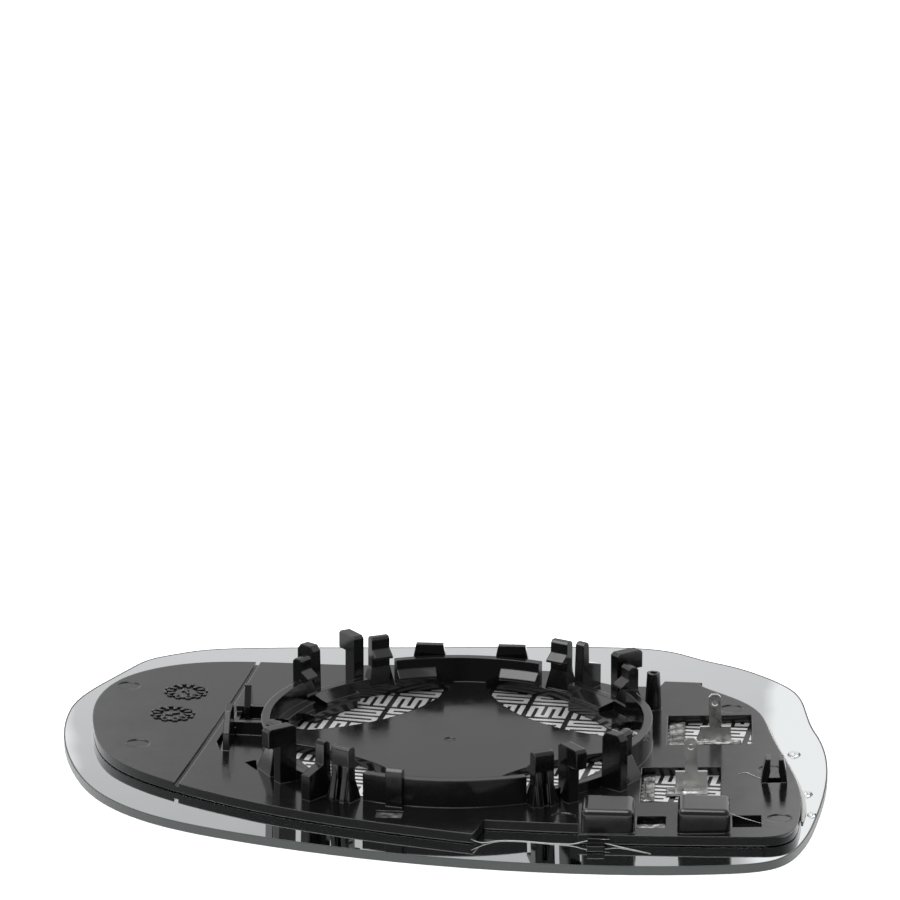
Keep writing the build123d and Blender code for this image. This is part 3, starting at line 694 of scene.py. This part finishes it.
def studio_floor():
    """Matt white table, which shows white to the camera and in mirrors and keeps a soft shadow."""
    half = 3.0
    gap = 0.1 * MM
    mesh = bpy.data.meshes.new("studio_floor")
    corners = [(-half, -half, 0), (half, -half, 0), (half, half, 0), (-half, half, 0)]
    mesh.from_pydata(corners, [], [(0, 1, 2, 3)])
    floor = bpy.data.objects.new("studio_floor", mesh)
    floor.location.z = -gap
    bpy.context.scene.collection.objects.link(floor)
    material, tree, place = start_material("white_table")
    paint = node(tree, "ShaderNodeBsdfDiffuse", {"Color": linear("#f4f4f4")})
    glow = node(tree, "ShaderNodeEmission", {"Color": white, "Strength": fill_level})
    lit = node(tree, "ShaderNodeAddShader", {0: paint.outputs["BSDF"], 1: glow.outputs["Emission"]})
    path = node(tree, "ShaderNodeLightPath")
    seen = node(
        tree, "ShaderNodeMath",
        {0: path.outputs["Is Camera Ray"], 1: path.outputs["Is Glossy Ray"]},
        operation="MAXIMUM",
    )
    seen_or_through = node(
        tree, "ShaderNodeMath",
        {0: seen.outputs["Value"], 1: path.outputs["Is Transmission Ray"]},
        operation="MAXIMUM",
    )
    mixed = node(
        tree, "ShaderNodeMixShader",
        {0: seen_or_through.outputs["Value"], 1: paint.outputs["BSDF"], 2: lit.outputs["Shader"]},
    )
    node(tree, "ShaderNodeOutputMaterial", {"Surface": mixed.outputs["Shader"]})
    mesh.materials.append(material)


def white_world():
    """White surround. Gloss sees a grey card behind the mirror glass, and grey behind the camera."""
    world = bpy.data.worlds.new("white_surround")
    bpy.context.scene.world = world
    world.use_nodes = True
    tree = world.node_tree
    tree.nodes.clear()
    fill = node(tree, "ShaderNodeBackground", {"Color": white, "Strength": fill_level})
    backdrop = node(tree, "ShaderNodeBackground", {"Color": white, "Strength": 1.0})
    towards = node(tree, "ShaderNodeTexCoord").outputs["Generated"]
    direction = node(tree, "ShaderNodeSeparateXYZ", {"Vector": towards})
    card_level = 0.2
    card_half_width = 0.064
    card_soft_edge = 0.01
    card_left_shift = 0.006
    card = node(
        tree, "ShaderNodeMapRange",
        {
            "Value": direction.outputs["Z"],
            "From Min": 0.16,
            "From Max": 0.5,
            "To Min": card_level,
            "To Max": 1.0,
        },
    )
    aside = node(
        tree, "ShaderNodeMath",
        {0: direction.outputs["X"], 1: card_left_shift},
        operation="ADD",
    )
    sideways = node(tree, "ShaderNodeMath", {0: aside.outputs["Value"]}, operation="ABSOLUTE")
    past_card = node(
        tree, "ShaderNodeMapRange",
        {
            "Value": sideways.outputs["Value"],
            "From Min": card_half_width,
            "From Max": card_half_width + card_soft_edge,
            "To Min": 0.0,
            "To Max": 1.0,
        },
    )
    behind_glass = node(
        tree, "ShaderNodeMath",
        {0: card.outputs["Result"], 1: past_card.outputs["Result"]},
        operation="MAXIMUM",
    )
    camera_side_level = 0.36
    behind_camera = node(
        tree, "ShaderNodeMapRange",
        {
            "Value": direction.outputs["Y"],
            "From Min": -0.5,
            "From Max": 0.4,
            "To Min": camera_side_level,
            "To Max": 1.0,
        },
    )
    level = node(
        tree, "ShaderNodeMath",
        {0: behind_glass.outputs["Value"], 1: behind_camera.outputs["Result"]},
        operation="MULTIPLY",
    )
    walls = node(tree, "ShaderNodeBackground", {"Color": white, "Strength": level.outputs["Value"]})
    path = node(tree, "ShaderNodeLightPath")
    seen = node(
        tree, "ShaderNodeMath",
        {0: path.outputs["Is Camera Ray"], 1: path.outputs["Is Transmission Ray"]},
        operation="MAXIMUM",
    )
    plain = node(
        tree, "ShaderNodeMixShader",
        {0: seen.outputs["Value"], 1: fill.outputs["Background"], 2: backdrop.outputs["Background"]},
    )
    mixed = node(
        tree, "ShaderNodeMixShader",
        {0: path.outputs["Is Glossy Ray"], 1: plain.outputs["Shader"], 2: walls.outputs["Background"]},
    )
    node(tree, "ShaderNodeOutputWorld", {"Surface": mixed.outputs["Shader"]})


def overhead_softbox():
    """Rectangular soft lamp above and to the left, which points at the mirror glass."""
    lamp = bpy.data.lights.new("overhead_softbox", "AREA")
    lamp.shape = "RECTANGLE"
    lamp.size = 0.9
    lamp.size_y = 0.7
    lamp.energy = 9
    box = bpy.data.objects.new("overhead_softbox", lamp)
    box.location = (-0.25, -0.1, 0.9)
    box.rotation_euler = (-box.location).to_track_quat("-Z", "Y").to_euler()
    bpy.context.scene.collection.objects.link(box)


def photo_camera():
    """Camera at the photograph's place: a long lens, a little above the clip plate."""
    lens = bpy.data.cameras.new("camera")
    lens.lens = 134.31
    lens.sensor_width = 36
    lens.shift_x = -0.0018
    lens.clip_start = 0.05
    lens.clip_end = 20
    camera = bpy.data.objects.new("camera", lens)
    camera.location = (0.62 * MM, -731.9 * MM, 259.2 * MM)
    camera.rotation_euler = Vector((0.00272, 0.96957, -0.24479)).to_track_quat("-Z", "Y").to_euler()
    bpy.context.scene.collection.objects.link(camera)
    bpy.context.scene.camera = camera


studio_floor()
white_world()
overhead_softbox()
photo_camera()
bpy.context.scene.view_settings.view_transform = "Standard"
